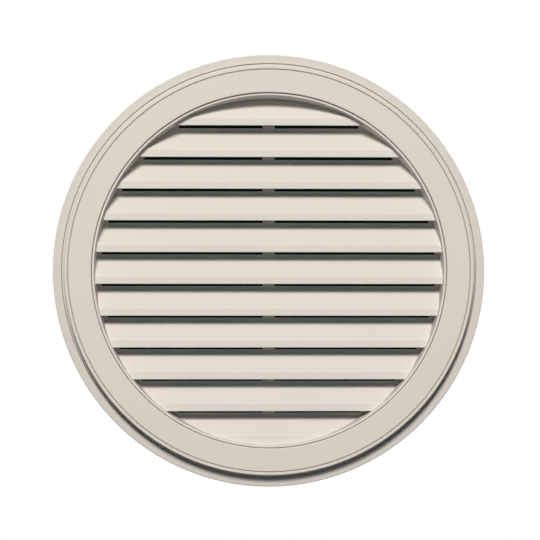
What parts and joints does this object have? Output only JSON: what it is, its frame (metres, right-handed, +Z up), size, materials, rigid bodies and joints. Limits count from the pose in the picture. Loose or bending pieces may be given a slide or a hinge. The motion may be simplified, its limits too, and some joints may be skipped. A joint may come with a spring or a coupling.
{
  "type": "round gable vent",
  "caption": "Round louvred gable vent: a moulded body with fixed louvres and a nailing flange, a clip-on stepped trim ring and an insect screen across the back.",
  "frame": {"origin": "centre of the opening on the wall plane, where the back of the nailing flange seats", "axes": "+X to the right seen from the front, +Y into the wall, +Z up, so the louvres face -Y"},
  "size_m": [0.5587, 0.0572, 0.5588],
  "materials": {
    "body_plastic": "satin, fine moulded grain",
    "trim_plastic": "satin, fine moulded grain",
    "screen_mesh": "woven, coated black"
  },
  "bodies": {
    "root": {"vent_body": "body_plastic", "trim_ring": "trim_plastic", "insect_screen": "screen_mesh"}
  },
  "joints": []
}
